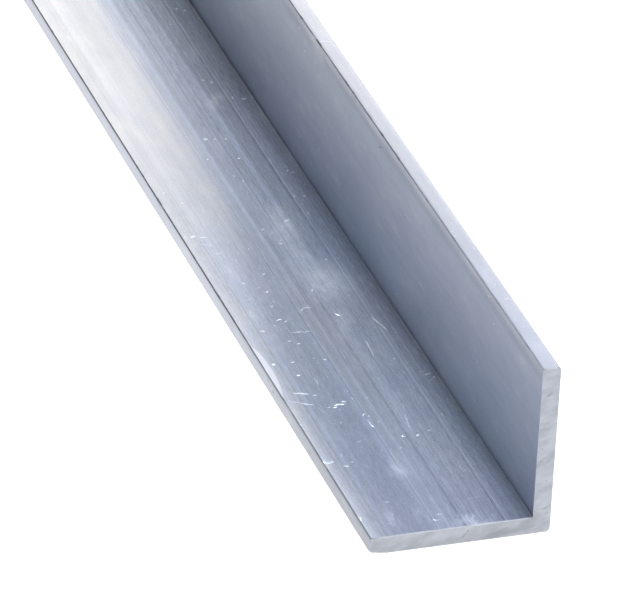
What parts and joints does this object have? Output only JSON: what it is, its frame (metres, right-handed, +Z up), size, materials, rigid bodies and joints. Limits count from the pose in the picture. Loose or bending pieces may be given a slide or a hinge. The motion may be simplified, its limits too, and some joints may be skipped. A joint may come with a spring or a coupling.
{
  "type": "aluminium angle profile",
  "caption": "Equal-leg aluminium angle stock, extruded in an L section with a sharp root and sawn square, for edging, corner trim, brackets and light frames.",
  "frame": {"origin": "middle of the length and of the foot's width, on the underside of the foot", "axes": "+Y along the length, +Z up along the upright, +X from the toe of the foot to the back of the upright"},
  "size_m": [0.03, 1, 0.03],
  "materials": {
    "mill_aluminium": "mill finish, as extruded"
  },
  "bodies": {
    "root": {"angle_profile": "mill_aluminium"}
  },
  "joints": []
}
